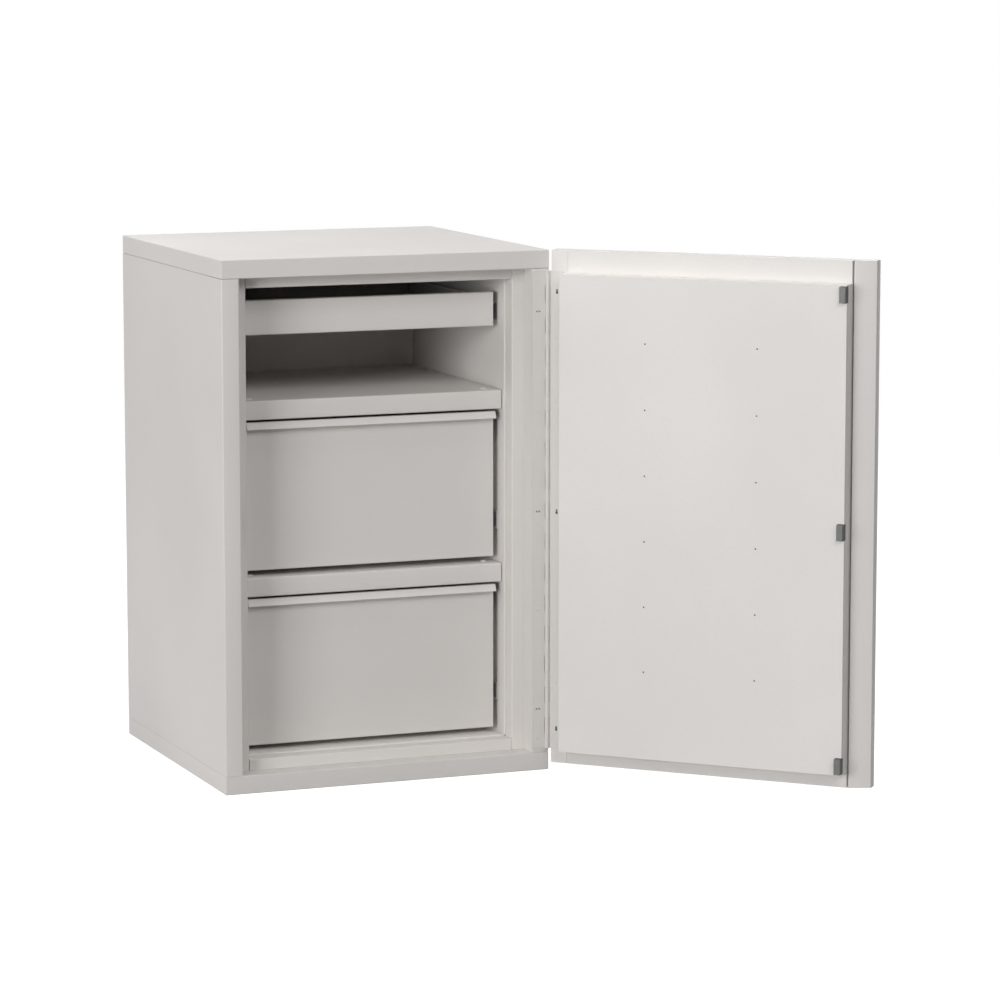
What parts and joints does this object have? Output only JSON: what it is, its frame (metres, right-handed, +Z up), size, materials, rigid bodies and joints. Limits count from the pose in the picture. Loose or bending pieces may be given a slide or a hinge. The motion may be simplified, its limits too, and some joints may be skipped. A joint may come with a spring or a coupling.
{
  "type": "fireproof storage cabinet",
  "caption": "Fireproof steel storage cabinet with an insulated plug door on a piano hinge, sliding locking bolts, a shallow tray, fixed shelves and filing drawers on slides.",
  "frame": {"origin": "centre of the base's footprint, on the floor", "axes": "+Z up out of the top; -Y out of the front, where the door is, so +Y is out of the back; +X to the viewer's right, which is the hinge side"},
  "size_m": [1.1303, 1.0848, 1],
  "materials": {
    "body_paint": "light grey powder coat, satin",
    "door_paint": "light grey powder coat, satin",
    "interior_paint": "light grey powder coat, satin",
    "drawer_paint": "light grey powder coat, satin",
    "zinc_steel": "zinc plated",
    "bolt_steel": "dark zinc plated",
    "lock_chrome": "polished",
    "mineral_fibre": "matt board"
  },
  "bodies": {
    "cabinet": {"left_panel": "body_paint", "right_panel": "body_paint", "back_panel": "body_paint", "base_cap": "body_paint", "top_cap": "body_paint", "left_jamb": "body_paint", "right_jamb": "body_paint", "sill_rail": "body_paint", "head_rail": "body_paint", "liner_left": "interior_paint", "liner_right": "interior_paint", "liner_floor": "interior_paint", "liner_ceiling": "interior_paint", "liner_back": "interior_paint", "body_insulation": "mineral_fibre", "upper_shelf": "interior_paint", "lower_shelf": "interior_paint", "tray_channel_left": "zinc_steel", "tray_channel_right": "zinc_steel", "upper_drawer_channel_left": "zinc_steel", "upper_drawer_channel_right": "zinc_steel", "lower_drawer_channel_left": "zinc_steel", "lower_drawer_channel_right": "zinc_steel", "hinge_frame_leaf": "body_paint", "hinge_pin": "zinc_steel"},
    "tray": {"tray_front": "drawer_paint", "tray_tub": "interior_paint", "tray_rail_left": "zinc_steel", "tray_rail_right": "zinc_steel"},
    "upper_drawer": {"upper_drawer_front": "drawer_paint", "upper_drawer_tub": "interior_paint", "upper_drawer_rail_left": "zinc_steel", "upper_drawer_rail_right": "zinc_steel"},
    "upper_slides": {"upper_drawer_slide_left": "zinc_steel", "upper_drawer_slide_right": "zinc_steel"},
    "lower_drawer": {"lower_drawer_front": "drawer_paint", "lower_drawer_tub": "interior_paint", "lower_drawer_rail_left": "zinc_steel", "lower_drawer_rail_right": "zinc_steel"},
    "lower_slides": {"lower_drawer_slide_left": "zinc_steel", "lower_drawer_slide_right": "zinc_steel"},
    "door": {"hinge_door_leaf": "body_paint", "door_skin": "door_paint", "door_top_rail": "door_paint", "door_bottom_rail": "door_paint", "door_plug": "door_paint", "door_insulation": "mineral_fibre", "lock_case": "zinc_steel", "lower_bar_guide": "zinc_steel", "upper_bar_guide": "zinc_steel", "lock_escutcheon": "lock_chrome", "lock_cylinder": "lock_chrome"},
    "bolts": {"bolt_bar": "zinc_steel", "top_bolt": "bolt_steel", "middle_bolt": "bolt_steel", "bottom_bolt": "bolt_steel"},
    "handle": {"lever_handle": "lock_chrome", "crank_spindle": "zinc_steel"},
    "key": {"lock_core": "lock_chrome", "lock_cam": "zinc_steel"}
  },
  "joints": [
    {"name": "door_swing", "type": "hinge", "parent": "cabinet", "child": "door", "pos_m": [0.32, -0.3193, 0.5], "axis": [0, 0, 1], "range_deg": [-135, 45]},
    {"name": "tray_pull", "type": "slide", "parent": "cabinet", "child": "tray", "axis": [0, -1, 0], "range_m": [0, 0.32]},
    {"name": "upper_drawer_pull", "type": "slide", "parent": "cabinet", "child": "upper_drawer", "axis": [0, -1, 0], "range_m": [0, 0.4]},
    {"name": "upper_slides_run", "type": "slide", "parent": "cabinet", "child": "upper_slides", "axis": [0, -1, 0], "range_m": [0, 0.2]},
    {"name": "lower_drawer_pull", "type": "slide", "parent": "cabinet", "child": "lower_drawer", "axis": [0, -1, 0], "range_m": [0, 0.4]},
    {"name": "lower_slides_run", "type": "slide", "parent": "cabinet", "child": "lower_slides", "axis": [0, -1, 0], "range_m": [0, 0.2]},
    {"name": "handle_turn", "type": "hinge", "parent": "door", "child": "handle", "pos_m": [0.73012, -0.70114, 0.5], "axis": [-0.7071, -0.7071, 0], "range_deg": [-90, 0]},
    {"name": "bolts_throw", "type": "slide", "parent": "door", "child": "bolts", "axis": [0.7071, -0.7071, 0], "range_m": [0, 0.016]},
    {"name": "key_turn", "type": "hinge", "parent": "door", "child": "key", "pos_m": [0.73012, -0.70114, 0.545], "axis": [0.7071, 0.7071, 0], "range_deg": [-90, 0]}
  ],
  "couplings": [
    {"joint": "upper_slides_run", "follows": "upper_drawer_pull", "ratio": 0.5},
    {"joint": "lower_slides_run", "follows": "lower_drawer_pull", "ratio": 0.5},
    {"joint": "bolts_throw", "follows": "handle_turn", "m_per_rad": -0.010185}
  ]
}
